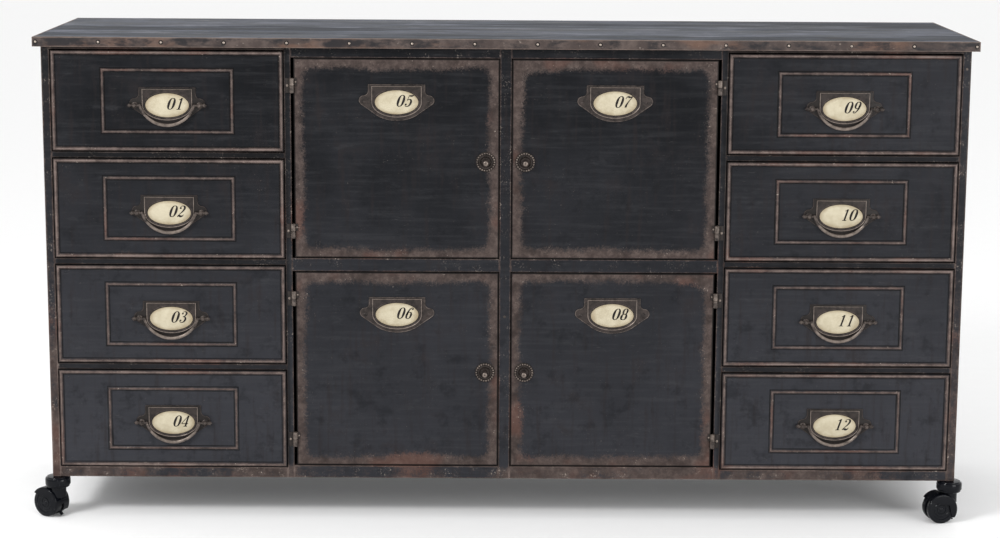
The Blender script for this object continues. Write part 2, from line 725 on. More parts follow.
# A drawer's front: 1.5 mm sheet pressed with a rounded bead along its edge and a rectangle of
# smaller bead in the middle, its sides folded back. Behind it a tray folded from 1 mm sheet is spot
# welded, with a rolled upper rim. The paint has gone from the tops of the beads.
DRAWERS = ["01", "02", "03", "04", "09", "10", "11", "12"]
front_t = 1.5 * MM
rim_w, rim_proud = 8 * MM, 3 * MM
rim_foot = 2 * MM
bead_w, bead_proud = 6.5 * MM, 2 * MM
bead_steps = 8
bead_rect = (226 * MM, 112 * MM)
fold_depth = 10 * MM
tray_from = 1.3 * MM
tray_wall = 1 * MM
tray_gap = 4 * MM
tray_rise = 5 * MM
tray_h = 140 * MM
tray_corner = 0.35 * MM
hem_h, hem_w = 6 * MM, 2.4 * MM
hem_corner = 0.8 * MM
screw_r, screw_h = 2.2 * MM, 1.1 * MM
screw_in = 17 * MM
screw_down = 13 * MM
front_cut = 9 * MM
front_wave, front_wave_size = 0.5 * MM, 100 * MM
worn_from = (178 * MM, 67 * MM)
worn_over = 18 * MM
foot_dirt = (2.5 * MM, 3.2 * MM, 3.6 * MM, 5.4 * MM)
rim_dirt = (rim_w - 0.8 * MM, rim_w, rim_w + 0.4 * MM, rim_w + 2.2 * MM)
edge_dirt = (2.0 * MM, 0.8 * MM)
drawer_merge = 0.001 * MM


def pressed_bead(width, proud):
    """Insets the selected face again and again, so that the steps rise and fall over a bow."""
    radius = (width**2 / 4 + proud**2) / (2 * proud)
    turns = [math.pi * i / bead_steps for i in range(bead_steps + 1)]
    reach = [width / 2 - width / 2 * math.cos(turn) for turn in turns]
    rise = [math.sqrt(max(0, radius**2 - (u - width / 2) ** 2)) - radius + proud for u in reach]
    for i in range(bead_steps):
        bpy.ops.mesh.inset(thickness=reach[i + 1] - reach[i], depth=rise[i + 1] - rise[i])


def cut_evenly(length_x, length_z):
    """Cuts a drawer front into a grid, along X and then along Z."""
    pick("EDGE", lambda middle, way: abs(way.x) > 0.99)
    bpy.ops.mesh.subdivide(number_cuts=int(length_x / front_cut))
    pick("EDGE", lambda middle, way: abs(way.z) > 0.99)
    bpy.ops.mesh.subdivide(number_cuts=int(length_z / front_cut))


def bead_rub(finish):
    """The tops of the beads are rubbed, and the sheet a little near its edges."""
    x, z = finish.from_middle()
    near = (x.size() - worn_from[0]).at_least(z.size() - worn_from[1]).step(0, worn_over)
    patch = finish.noise(finish.place(), 7, 3).step(0.5, 0.75)
    crest = finish.attribute("rub")
    worn = crest.step(0.20, 0.62) * 0.66 + crest.step(0.80, 1.0) * 0.8
    return worn + near * (0.12 + patch * 0.4) + patch * 0.12


def bead_dirt(finish):
    """Dirt lies in a line along both feet of the inner bead, inside the outer one and at the edge."""
    x, z = finish.from_middle()
    crest_x, crest_z = (bead_rect[0] - bead_w) / 2, (bead_rect[1] - bead_w) / 2
    from_crest = (x.size() - crest_x).at_least(z.size() - crest_z).size()
    from_edge = (x.size() - drawer_w / 2).at_least(z.size() - drawer_h / 2).size()
    lines = from_crest.between(*foot_dirt).at_least(from_edge.between(*rim_dirt) * 0.8)
    fade = finish.noise(finish.place(), 18, 3).step(0.25, 0.55) * 0.55 + 0.35
    return (lines * fade).at_least(from_edge.step(*edge_dirt) * 0.85)


def how_proud(place):
    """0 on the sheet and 1 on the crest of either bead."""
    inside = min(drawer_w / 2 - abs(place.x), drawer_h / 2 - abs(place.z))
    return max(0.0, -place.y) / (rim_proud if inside < rim_w + MM else bead_proud)


low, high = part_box("drawer_01_box")
drawer_w = high.x - low.x
drawer_h = high.z - low.z
front_y = low.y + rim_proud
tray_back = high.y - front_y
front = block((-drawer_w / 2, 0, -drawer_h / 2), (drawer_w / 2, fold_depth, drawer_h / 2))
with shaping(front):
    pick("FACE", lambda middle, normal: normal.y > 0.9)
    bpy.ops.mesh.inset(thickness=front_t)
    bpy.ops.mesh.inset(depth=front_t - fold_depth, thickness=0)
    pick("FACE", lambda middle, normal: normal.y < -0.9)
    pressed_bead(rim_w, rim_proud)
    bpy.ops.mesh.inset(thickness=rim_foot)
    inner_w, inner_h = (side - 2 * (rim_w + rim_foot) for side in (drawer_w, drawer_h))
    bpy.ops.transform.resize(value=(bead_rect[0] / inner_w, 1, bead_rect[1] / inner_h))
    pressed_bead(bead_w, bead_proud)
    cut_evenly(drawer_w, drawer_h)
half = drawer_w / 2 - tray_gap
floor_z = tray_rise - drawer_h / 2
rim_z = floor_z + tray_h
tray = block((-half, tray_from, floor_z), (half, tray_back, rim_z))
with shaping(tray):
    pick("FACE", lambda middle, normal: normal.z > 0.9)
    bpy.ops.mesh.inset(thickness=tray_wall)
    bpy.ops.mesh.extrude_region_move(TRANSFORM_OT_translate={"value": (0, 0, tray_wall - tray_h)})
ease(tray, tray_corner)
hem = block((-half, tray_from, rim_z - hem_h), (half, tray_back, rim_z))
with shaping(hem):
    pick("FACE", lambda middle, normal: abs(normal.z) > 0.9)
    bpy.ops.mesh.inset(thickness=hem_w)
    bpy.ops.mesh.bridge_edge_loops()
ease(hem, hem_corner)
screw_place = (screw_in - drawer_w / 2, 0, drawer_h / 2 - screw_down)
screw = moved(turned(dome(screw_r, screw_h), 20), screw_place)
drawer = joined([front, tray, hem, screw])
with shaping(drawer):
    bpy.ops.mesh.select_all(action="SELECT")
    bpy.ops.mesh.remove_doubles(threshold=drawer_merge)
rubbed(mark_middle(drawer), how_proud)
front_paint = worn_paint("drawer_paint", bead_rub, bead_dirt)
for i, digits in enumerate(DRAWERS):
    name = f"drawer_{digits}"
    low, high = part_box(name + "_box")
    piece = copied(drawer, ((low.x + high.x) / 2, front_y, (low.z + high.z) / 2))
    uneven(piece, front_wave, front_wave_size, "Y", i)
    fit(piece, name + "_front_and_tray", name, front_paint, [name + "_box"])
removed(drawer)

# The doors: 1.5 mm sheet with its edges folded back 12 mm, hung on two small barrel hinges each. The
# leaves are welded on, and the paint is worn to brown in a broad, ragged border round each door.
DOORS = ["05", "06", "07", "08"]
border_w = 17 * MM
border_corner = 16 * MM
border_from, border_to = -17 * MM, 14 * MM
border_wander, border_ragged = 26 * MM, 14 * MM
edge_line = (-3.0 * MM, -1.3 * MM)
door_w = 350 * MM
door_d = 12 * MM
door_corner = 0.9 * MM
door_cut, door_cut_depth = 9 * MM, 2 * MM
door_wave, door_wave_size = 0.45 * MM, 120 * MM
hinge_gap = 5 * MM
hinge_l = 25 * MM
hinge_from_end = 46.5 * MM
hinge_proud = 3.56 * MM
barrel_r = 4 * MM
barrel_corner = 0.4 * MM
half_barrel = 12.3 * MM
pin_r, pin_l = 2 * MM, 24 * MM
pin_play, pin_seat = 0.06 * MM, 0.3 * MM
tip_w, tip_h = 0.5 * MM, 0.6 * MM
door_screw_r, door_screw_x = 1.6 * MM, -6 * MM
frame_screw_r, frame_screw_x = 2.2 * MM, 8 * MM
leaf_t = 1.5 * MM
leaf_sink = 0.2 * MM
leaf_corner = 0.3 * MM
door_leaf_w = 8 * MM
frame_leaf = (4.4 * MM, 11 * MM)
ledge_to = 4.6 * MM
bend_from, bend_past = 1.4 * MM, 1 * MM
bend_y = (-leaf_t - 0.7 * MM, -0.9 * MM)
bend_corner = 0.2 * MM


def door_rub(finish):
    """How far a point is inside the worn border of its door, with soft round inner corners."""
    x, z = finish.from_middle()
    along = (x.size() - (door_w / 2 - border_w - border_corner)).at_least(0.0)
    up = (z.size() - (door_h / 2 - border_w - border_corner)).at_least(0.0)
    reach = finish.distance(along, up) - border_corner
    wander = (finish.noise(finish.place(), 9, 4, 0.6) - 0.5) * border_wander
    ragged = (finish.noise(finish.place(), 150, 4, 0.8) - 0.5) * border_ragged
    return (reach + wander + ragged).step(border_from, border_to) * 1.05 + 0.03


def door_dirt(finish):
    """A dark line round the very edge of a door and down its folded sides."""
    x, z = finish.from_middle()
    edge = (x.size() - door_w / 2).at_least(z.size() - door_h / 2)
    return edge.step(*edge_line) * 0.92


def tipped(piece, angle, axis="X"):
    """Turns a piece's mesh about an axis through the origin, in degrees."""
    piece.data.transform(Matrix.Rotation(math.radians(angle), 4, axis))
    return piece


def closed_ring(inner, outer, height, round_off):
    """A turned ring with a bore, its outer edges taken off."""
    low_edge = [(inner, 0), (outer - round_off, 0), (outer, round_off)]
    high_edge = [(outer, height - round_off), (outer - round_off, height), (inner, height)]
    return turned([*low_edge, *high_edge, (inner, 0)], 24)


def combine(piece, other, operation):
    """Adds another solid to a piece, cuts it away, or keeps what they share."""
    modify(piece, "BOOLEAN", object=other, operation=operation, solver="EXACT")
    removed(other)
    return piece


def slotted_screw(radius, slot_turn):
    """A low domed screw head with a slot, its seat at y = 0."""
    rise = radius * 0.45
    half = radius * 0.13
    slot = block((-2 * radius, -2 * rise, -half), (2 * radius, -rise * 0.5, half))
    return combine(turned(dome(radius, rise), 24), tipped(slot, slot_turn, "Y"), "DIFFERENCE")


bronze = old_bronze("old_bronze")
low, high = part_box("door_07_panel")
door_h = high.z - low.z
door_x = low.x + door_w / 2
hinge_x = low.x + door_w + hinge_gap / 2
pan = block((-door_w / 2, 0, -door_h / 2), (door_w / 2, door_d, door_h / 2))
with shaping(pan):
    pick("FACE", lambda middle, normal: normal.y > 0.9)
    bpy.ops.mesh.inset(thickness=leaf_t)
    bpy.ops.mesh.extrude_region_move(TRANSFORM_OT_translate={"value": (0, leaf_t - door_d, 0)})
ease(pan, door_corner, 3)
with shaping(pan):
    for side in ("x", "z"):
        pick("EDGE", lambda middle, way: abs(getattr(way, side)) > 0.99 and middle.y < door_cut_depth)
        bpy.ops.mesh.subdivide(number_cuts=int(door_w / door_cut))
painted(mark_middle(pan), worn_paint("door_paint", door_rub, door_dirt, 0.42, torn=0.8))
moved(pan, (door_x, 0, door_h / 2))

upper_z = hinge_l - half_barrel
upper = tipped(closed_ring(pin_r + pin_play, barrel_r, half_barrel, barrel_corner), -90)
moved(upper, (0, -hinge_proud, upper_z))
leaf = block((-door_leaf_w, -leaf_t, upper_z), (-hinge_gap / 2, leaf_sink, hinge_l))
bent = block((-hinge_gap / 2 - bend_past, bend_y[0], upper_z), (-bend_from, bend_y[1], hinge_l))
leaves = joined([ease(leaf, leaf_corner), ease(bent, bend_corner)])
screw = moved(slotted_screw(door_screw_r, 35), (door_screw_x, -leaf_t, hinge_l - half_barrel / 2))
door_hinge = painted(joined([rubbed(upper, 0.66), rubbed(leaves, 0.12), rubbed(screw, 0.8)]), bronze)

lower = closed_ring(pin_r - pin_seat, barrel_r, half_barrel, barrel_corner)
pin = turned([(0, 0), (pin_r, 0), (pin_r, pin_l - tip_h), (pin_r - tip_w, pin_l), (0, pin_l)], 20)
barrel = joined([moved(tipped(piece, -90), (0, -hinge_proud, 0)) for piece in (lower, pin)])
leaf = block((frame_leaf[0], -leaf_t, 0), (frame_leaf[1], leaf_sink, hinge_l))
ledge = block((hinge_gap / 2, -leaf_t, 0), (ledge_to, leaf_sink, half_barrel))
bent = block((bend_from, bend_y[0], 0), (hinge_gap / 2 + bend_past, bend_y[1], half_barrel))
leaves = joined([ease(leaf, leaf_corner), ease(ledge, bend_corner), ease(bent, bend_corner)])
screw = moved(slotted_screw(frame_screw_r, -50), (frame_screw_x, -leaf_t, hinge_l / 2))
fixed_hinge = joined([rubbed(barrel, 0.55), rubbed(leaves, 0.12), rubbed(screw, 0.8)])

places = [(hinge_x, 0, middle - hinge_l / 2) for middle in (hinge_from_end, door_h - hinge_from_end)]
door = joined([pan, *(copied(door_hinge, place) for place in places)])
fixed_pair = joined([copied(fixed_hinge, place) for place in places])
fixed = []
for i, digits in enumerate(DOORS):
    name = f"door_{digits}"
    place = (0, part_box("front_rails")[0].y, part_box(name + "_panel")[0].z)
    piece = copied(door, place, flip=i < 2)
    uneven(piece, door_wave, door_wave_size, "Y", i)
    fit(piece, name + "_leaf", name, None, [name + "_panel"])
    fixed.append(copied(fixed_pair, place, flip=i < 2))
fit(joined(fixed), "hinge_halves_and_pins", "case", bronze, ["hinge_pins"])
removed(door, door_hinge, fixed_hinge, fixed_pair)

# The label holders: cast plates with lobed ears, a raised frame round an oval window, and fine
# rims. Behind the window is a cream card with its number. Two screws hold each one on a door, and
# on the drawers two turned posts hold the plate and the bail's pins.
plate = (48 * MM, 30 * MM, 31 * MM)
plate_t = 1.2 * MM
raised = (42 * MM, 27 * MM, 25 * MM)
raised_t = 1.8 * MM
card_r = (37 * MM, 20.5 * MM)
ear_middle, ear_r = (55.5 * MM, 3 * MM), 8 * MM
notch_z, notch_r = 19 * MM, 8 * MM
window_gap = 0.6 * MM
rim_out = 2.2 * MM
plate_corner, plate_rim_r = 0.3 * MM, 0.65 * MM
raised_corner, raised_rim_r = 0.35 * MM, 0.85 * MM
raised_rim_sink = 0.5 * MM
window_rim_r = 0.7 * MM
card_gap, card_t, card_corner = 0.1 * MM, 0.6 * MM, 0.1 * MM
seat = 0.2 * MM
ear_screw_r = 3.4 * MM
drawn_merge = 0.002 * MM
ear_x = 55 * MM
post_l, post_tip_r = 9.5 * MM, 1.4 * MM
pivot_y = 6 * MM
bore_r, bore_l = 1.96 * MM, 14 * MM
digit_h = 19.5 * MM
digit_step = 0.72
digit_slant = 0.33
thin, thick = 0.014, 0.088
pen_weight = 0.014
ink_t, ink_gap = 0.05 * MM, 0.01 * MM
digits_place = (-1.8 * MM, 2.6 * MM)
CREAM = (0.43, 0.385, 0.28, 1)
STAINED_CREAM = (0.35, 0.305, 0.21, 1)
CARD_RIM = (0.22, 0.165, 0.095, 1)
CARD_FIBRE = (0.25, 0.20, 0.125, 1)
CARD_SPECK = (0.30, 0.20, 0.11, 1)
INK = (0.008, 0.007, 0.007, 1)
THIN_INK = (0.06, 0.045, 0.035, 1)


def oval(half_w, half_h, start=0, end=360, steps=64):
    """Points of an ellipse from one angle to another, in degrees."""
    angles = [math.radians(start + (end - start) * i / steps) for i in range(steps + 1)]
    return [(half_w * math.cos(a), half_h * math.sin(a)) for a in angles]


def mirrored(points):
    """A closed outline from the points of its right half, which run from top to bottom."""
    return points + [(-x, z) for x, z in reversed(points) if abs(x) > 1e-6]


def drawn(loops, flat, bevel, extrude=0.0, closed=True, radii=None):
    """A curve object through the points of each loop, made a mesh. A flat one is filled."""
    curve = bpy.data.curves.new("outline", "CURVE")
    curve.dimensions = "2D" if flat else "3D"
    curve.fill_mode = "BOTH" if flat else "FULL"
    curve.extrude = extrude
    curve.bevel_depth = bevel
    curve.bevel_resolution = 2 if flat else 3
    curve.offset = -bevel if flat else 0
    curve.use_fill_caps = not flat
    for loop in loops:
        spline = curve.splines.new("POLY")
        spline.points.add(len(loop) - 1)
        spline.use_cyclic_u = closed
        for i, point in enumerate(loop):
            spline.points[i].co = (*point, *(0,) * (3 - len(point)), 1)
            spline.points[i].radius = radii[i] if radii else 1
    activate(new_piece("outline", curve))
    bpy.ops.object.convert(target="MESH")
    return cleaned(bpy.context.object, drawn_merge)


def plate_of(loops, back, thickness, bevel):
    """A flat plate cut to outlines in X and Z, from y = -back to y = -(back + thickness)."""
    piece = tipped(drawn(loops, True, bevel, thickness / 2 - bevel), 90)
    return moved(piece, (0, -back - thickness / 2, 0))


def rim_of(loop, forward, radius):
    """A round wire along an outline in X and Z."""
    return moved(tipped(drawn([loop], False, radius), 90), (0, -forward, 0))


def bow(x, z, half_w, half_h):
    """The centre line of an oval pen stroke, thick at its sides and thin above and below."""
    points = []
    for i in range(33):
        side, height = math.cos(math.tau * i / 32), math.sin(math.tau * i / 32)
        half = thin + (min(thick, 0.28 * half_w) - thin) * abs(side) ** 1.6
        points.append((x + (half_w - half) * side, z + (half_h - thin) * height, half))
    return points


def dot(x, z, radius):
    """A round end of a stroke."""
    halves = [(-1, 0.05), (-0.8, 0.6), (-0.4, 0.92), (0, 1), (0.4, 0.92), (0.8, 0.6), (1, 0.05)]
    return [(x, z + radius * up, radius * half) for up, half in halves]


DIGITS = {
    "0": [bow(0.31, 0.50, 0.31, 0.50)],
    "1": [
        [(0.16, 0.84, thin), (0.28, 0.90, 0.02), (0.36, 1.0, thin)],
        [(0.36, 1.0, 0.06), (0.36, 0.02, 0.06)],
        [(0.18, 0.012, thin), (0.54, 0.012, thin)],
    ],
    "2": [
        dot(0.14, 0.78, 0.07),
        [(0.08, 0.78, thin), (0.13, 0.93, thin), (0.29, 0.985, 0.016), (0.45, 0.90, 0.055),
         (0.49, 0.73, 0.07), (0.40, 0.50, 0.05), (0.22, 0.27, 0.022), (0.04, 0.03, 0.016)],
        [(0.04, 0.03, 0.02), (0.18, 0.10, 0.05), (0.36, 0.05, 0.07), (0.50, 0.09, 0.03),
         (0.54, 0.22, thin)],
    ],
    "3": [
        dot(0.14, 0.80, 0.065), dot(0.11, 0.20, 0.07),
        [(0.08, 0.80, thin), (0.14, 0.94, thin), (0.29, 0.985, 0.016), (0.44, 0.90, 0.05),
         (0.46, 0.76, 0.065), (0.38, 0.60, 0.03), (0.22, 0.535, thin)],
        [(0.22, 0.535, thin), (0.42, 0.49, 0.035), (0.51, 0.29, 0.075), (0.43, 0.08, 0.05),
         (0.25, 0.014, 0.016), (0.10, 0.07, thin), (0.05, 0.20, thin)],
    ],
    "4": [
        [(0.42, 1.0, thin), (0.20, 0.62, 0.02), (0.0, 0.27, thin)],
        [(0.0, 0.27, 0.016), (0.60, 0.27, 0.016)],
        [(0.42, 1.0, 0.06), (0.42, 0.02, 0.06)],
        [(0.26, 0.012, thin), (0.58, 0.012, thin)],
    ],
    "5": [
        dot(0.11, 0.19, 0.07), [(0.18, 0.98, thin), (0.13, 0.54, thin)],
        [(0.18, 0.96, 0.02), (0.32, 0.93, 0.05), (0.46, 0.94, 0.05), (0.58, 1.0, thin)],
        [(0.13, 0.54, thin), (0.27, 0.63, 0.02), (0.44, 0.56, 0.05), (0.50, 0.33, 0.075),
         (0.42, 0.09, 0.05), (0.24, 0.014, 0.016), (0.10, 0.06, thin), (0.05, 0.18, thin)],
    ],
    "6": [
        bow(0.30, 0.30, 0.26, 0.30), dot(0.48, 0.86, 0.06),
        [(0.12, 0.34, 0.076), (0.15, 0.62, 0.06), (0.27, 0.88, 0.035), (0.42, 0.985, thin),
         (0.54, 0.90, thin)],
    ],
    "7": [
        [(0.06, 0.93, thin), (0.20, 0.96, 0.05), (0.38, 0.91, 0.05), (0.58, 0.98, thin)],
        [(0.07, 0.96, thin), (0.04, 0.76, thin)],
        [(0.58, 0.98, thin), (0.38, 0.58, 0.03), (0.27, 0.28, 0.06), (0.25, 0.02, 0.07)],
    ],
    "8": [bow(0.30, 0.745, 0.235, 0.255), bow(0.30, 0.27, 0.285, 0.27)],
}
DIGITS["9"] = [[(0.60 - x, 1.0 - z, half) for x, z, half in stroke] for stroke in DIGITS["6"]]


def eased(t, before, start, end, after):
    """A value on the smooth curve from start to end, which also minds the values on either side."""
    bend = before - 2.5 * start + 2 * end - after / 2
    twist = 1.5 * (start - end) + (after - before) / 2
    return start + t * (end - before) / 2 + t**2 * bend + t**3 * twist


def pen_stroke(points, shift):
    """Corners and faces of a smooth flat stroke through (x, z, half width) points."""
    smooth = []
    for i in range(len(points) - 1):
        near = [points[max(i - 1, 0)], points[i], points[i + 1], points[min(i + 2, len(points) - 1)]]
        smooth += [[eased(t, *values) for values in zip(*near)] for t in (0, 0.25, 0.5, 0.75)]
    smooth.append(points[-1])
    corners = []
    for i, (x, z, half) in enumerate(smooth):
        start, end = smooth[max(i - 1, 0)], smooth[min(i + 1, len(smooth) - 1)]
        way = Vector((end[0] - start[0], end[1] - start[1])).normalized()
        for side in (-1, 1):
            reach = side * (half * 1.1 + pen_weight)
            across = (x - reach * way.y, z + reach * way.x)
            corners.append((across[0] + shift + digit_slant * across[1], 0, across[1]))
    return corners, [(i, i + 2, i + 3, i + 1) for i in range(0, len(corners) - 2, 2)]


def number(text):
    """The number's two digits in ink, on the right of the card and a little above its middle."""
    strokes = []
    for i, digit in enumerate(text):
        for points in DIGITS[digit]:
            mesh = bpy.data.meshes.new("ink")
            corners, faces = pen_stroke(points, i * digit_step)
            mesh.from_pydata([Vector(corner) * digit_h for corner in corners], [], faces)
            strokes.append(new_piece("ink", mesh))
    piece = cleaned(modify(joined(strokes), "SOLIDIFY", thickness=ink_t, offset=0))
    card_face = plate_t + card_gap + card_t
    x, z = digits_place
    return moved(piece, (x, -card_face - ink_gap, z - digit_h / 2))


def aged_card(name):
    """Cream card, browner towards its rim, with fine fibres and a few specks."""
    finish = Finish(name)
    where = finish.place()
    x, z = finish.from_middle()
    rim = finish.distance(x * (1 / card_r[0]), z * (1 / card_r[1]))
    stain = finish.noise(where, 45, 4, 0.6)
    fibres = finish.noise(finish.place((260, 260, 1600)), 1, 3, 0.7)
    specks = finish.cells(where, 520).step(0.13, 0.06) * finish.noise(where, 90, 2).step(0.55, 0.62)
    paper = finish.mix(stain.step(0.35, 0.7), CREAM, STAINED_CREAM)
    paper = finish.mix((rim + (stain - 0.5) * 0.3).step(0.72, 1.05) * 0.7, paper, CARD_RIM)
    paper = finish.mix(fibres.step(0.5, 0.8) * 0.15, paper, CARD_FIBRE)
    return finish.surface({
        "Base Color": finish.mix(specks * 0.6, paper, CARD_SPECK),
        "Roughness": 0.62 + fibres * 0.12,
        "Normal": finish.bump(fibres, 0.00003, 0.4),
    })


def black_ink(name):
    """Printing ink, a little brown where it is thin."""
    finish = Finish(name)
    thin_ink = finish.noise(finish.place(), 700, 3, 0.6).step(0.5, 0.75)
    return finish.surface({
        "Base Color": finish.mix(thin_ink * 0.35, INK, THIN_INK),
        "Roughness": 0.55 + thin_ink * 0.2,
        "Specular IOR Level": 0.15,
    })


half_w, up, down = plate
ear = [(half_w + notch_r - x, notch_z - z) for x, z in arc((0, 0), notch_r, 0, 80, 6)]
ear += arc(ear_middle, ear_r, 84, -60, 14)
belly = oval(half_w, down, -38, -90, 14)
plate_loop = mirrored([(half_w, up), *ear, *belly])
raised_loop = mirrored([(raised[0], raised[1]), *oval(raised[0], raised[2], 0, -90, 22)])
window = oval(card_r[0] + window_gap, card_r[1] + window_gap)[:-1]
rim = oval(card_r[0] + rim_out, card_r[1] + rim_out)[:-1]


def cast_holder(flat_rub, edge_rub):
    """The casting, its flat wings and their edge rubbed as told, and its raised middle rubbed more."""
    face = plate_t + raised_t
    parts = [
        (plate_of([plate_loop], 0, plate_t, plate_corner), flat_rub),
        (rim_of(plate_loop, plate_t - seat, plate_rim_r), edge_rub),
        (plate_of([raised_loop, window], plate_t - seat, raised_t + seat, raised_corner), 0.16),
        (rim_of(raised_loop, face - raised_rim_sink, raised_rim_r), 0.75),
        (rim_of(rim, face - seat, window_rim_r), 0.45),
    ]
    return painted(joined([rubbed(piece, rub) for piece, rub in parts]), bronze)


def in_mm(points):
    """The points of an outline written in millimetres, in metres."""
    return [tuple(value * MM for value in point) for point in points]


drawer_holder = cast_holder(0.0, 0.3)
door_holder = cast_holder(0.2, 0.58)
card = plate_of([oval(*card_r)[:-1]], plate_t + card_gap, card_t, card_corner)
painted(mark_middle(card), aged_card("cream_card"))
ink = black_ink("number_ink")

post = turned([
    *in_mm([(0, 0), (5.4, 0), (5.4, 1.8), (4.6, 2.6), (3.4, 3.0), (3.6, 3.6)]),
    *in_mm(arc((0, 6.2), 4.1, -32, 55, 8)), (post_tip_r, post_l), (0, post_l),
], 28)
bore = add(
    bpy.ops.mesh.primitive_cylinder_add, vertices=24, radius=bore_r, depth=bore_l,
    location=(0, -pivot_y, 0), rotation=(0, math.pi / 2, 0),
)
combine(post, bore, "DIFFERENCE")
painted(rubbed(post, 0.5), bronze)
ear_screw = moved(slotted_screw(ear_screw_r, 20), (0, -plate_t, 0))
painted(rubbed(ear_screw, 0.4), bronze)

kinds = [("drawer", DRAWERS, drawer_holder, post), ("door", DOORS, door_holder, ear_screw)]
for front, numbers, holder, held_by in kinds:
    for digits in numbers:
        name = f"{front}_{digits}"
        low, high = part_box(name + "_label_holder")
        parts = [copied(holder), copied(card), painted(number(digits), ink)]
        parts += [copied(held_by, (side * ear_x, 0, 0)) for side in (-1, 1)]
        piece = moved(joined(parts), ((low.x + high.x) / 2, high.y, high.z - up))
        fit(piece, name + "_label_plate", name, None, [name + "_label_holder"])
removed(drawer_holder, door_holder, card, post, ear_screw)

# The bails: round rods bent to a flat bow, thicker in the middle, with pins that turn in the posts
# and turned ball ends outside them.
bail_half_w = 46 * MM
bail_drop = 34 * MM
bail_steps = 40
rod_r = 2.4 * MM
bend_r = rod_r + 0.25 * MM
grip_below = -15 * MM


def ball(radius, place, segments, rings):
    """A sphere."""
    return add(
        bpy.ops.mesh.primitive_uv_sphere_add, segments=segments, ring_count=rings,
        radius=radius, location=place,
    )


bow_r = (bail_half_w**2 + bail_drop**2) / (2 * bail_drop)
bow_edge = math.degrees(math.asin((bow_r - bail_drop) / bow_r))
bow_arc = arc((0, 0), bow_r, 180 + bow_edge, 360 - bow_edge, bail_steps)
points = [(x, z + bow_r - bail_drop) for x, z in bow_arc]
radii = [0.92 + 0.22 * math.sin(math.pi * i / bail_steps) for i in range(bail_steps + 1)]
rod = tipped(drawn([points], False, rod_r, closed=False, radii=radii), 90)
rubbed(rod, lambda place: 0.72 if place.z < grip_below else 0.55)
end = turned(in_mm([
    (0, 0), (1.9, 0), (1.9, 13.6), (2.7, 13.8), (2.9, 14.5), (2.1, 15.1),
    *arc((0, 17.4), 3.5, -48, 52, 10), (1.5, 20.4), (1.2, 21.2), (0.6, 21.6), (0, 21.7),
]), 24)
ends = []
for side in (-1, 1):
    place = (side * bail_half_w, 0, 0)
    ends += [ball(bend_r, place, 20, 12), copied(end, place, side * math.pi / 2)]
bail = joined([rod, rubbed(joined(ends), 0.5)])
for digits in DRAWERS:
    name = f"drawer_{digits}"
    low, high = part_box(name + "_label_holder")
    piece = copied(bail, ((low.x + high.x) / 2, high.y - pivot_y, high.z - up))
    fit(piece, name + "_bail_pull", name + "_handle", bronze, [name + "_bail"])
removed(end, bail)

# The knobs: cast and bronzed like the label holders. Each has a ring of beads round a raised ring,
# and a dimpled button on a thin neck.
beads = 22
bead_ring_r = 14.7 * MM
bead_r = 1.8 * MM
bead_middle = 2.2 * MM
bead_top = 3.2 * MM
neck_from, button_from = 15 * MM, 23 * MM


def knob_rub(place):
    """The button's face is rubbed most, then its side and neck, and the rosette least."""
    if -place.y > button_from:
        return 0.75
    return 0.3 if -place.y > neck_from else 0.15


knob = turned(in_mm([
    (0, 0), (17, 0), (17, 1.2), (16.4, 1.9), (13.0, 1.9), (12.6, 2.9), (11.4, 3.8), (10.0, 3.6),
    (8.6, 2.2), (7.6, 1.2), (4.6, 1.2), (3.9, 2.6), (3.5, 6.0), (3.3, 12.0), (3.6, 14.0), (4.8, 15.2),
    (5.8, 16.6), (6.0, 18.2), (5.7, 20.2), (4.9, 22.0), (3.6, 23.4), (2.4, 23.9), (1.6, 23.7),
    (1.0, 23.0), (0, 22.8),
]), 48)
bead = ball(bead_r, (0, -bead_middle, 0), 14, 8)
round_beads = []
for i in range(beads):
    turn = math.tau * i / beads
    place = (bead_ring_r * math.cos(turn), 0, bead_ring_r * math.sin(turn))
    round_beads.append(copied(bead, place))
round_beads = rubbed(joined(round_beads), lambda place: 0.68 if -place.y > bead_top else 0.1)
knob = joined([rubbed(knob, knob_rub), round_beads])
for digits in DOORS:
    name = f"door_{digits}"
    low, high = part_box(name + "_knob")
    piece = copied(knob, ((low.x + high.x) / 2, high.y, (low.z + high.z) / 2))
    fit(piece, name + "_beaded_knob", name, bronze, [name + "_knob"])
removed(bead, knob)

# The casters: twin wheels of moulded black plastic under a hood with a slanting edge. The round cup
# above it turns on a steel stem, and the front ones have a brake lever on a pin.
TRAIL_ANGLES = {"fl": 150, "fr": 192, "rl": 210, "rr": 330}
wheel_r = 25 * MM
wheel_gap = 1.2 * MM
trail = 18 * MM
hood_r = 28 * MM
hood_in = 16.4 * MM
hood_out = 18.2 * MM
hood_corner, hood_edge = 2.4 * MM, 0.5 * MM
neck_r, neck_h, neck_z = 14 * MM, 22 * MM, 22 * MM
web_half_w, web_sink = 4.4 * MM, 0.5 * MM
slot_half_w = 3.3 * MM
slot_x, slot_z = -48 * MM, -40 * MM
axle_bore_r = 3.06 * MM
brake_half_w = 2.8 * MM
brake_pin_r = 1.4 * MM
brake_pin_z = 5 * MM
tab_hole_r, tab_corner = 2.2 * MM, 0.5 * MM
eye_in, eye_out, eye_corner = 1.46 * MM, 3.4 * MM, 0.4 * MM
CASTER_BLACK = (0.0024, 0.0028, 0.0044, 1)
WHEEL_BLACK = (0.0042, 0.0048, 0.0066, 1)


def drum(radius, half_w, x=0.0, z=0.0):
    """A cylinder along Y."""
    return add(
        bpy.ops.mesh.primitive_cylinder_add, vertices=72, radius=radius, depth=2 * half_w,
        location=(x, 0, z), rotation=(math.pi / 2, 0, 0),
    )


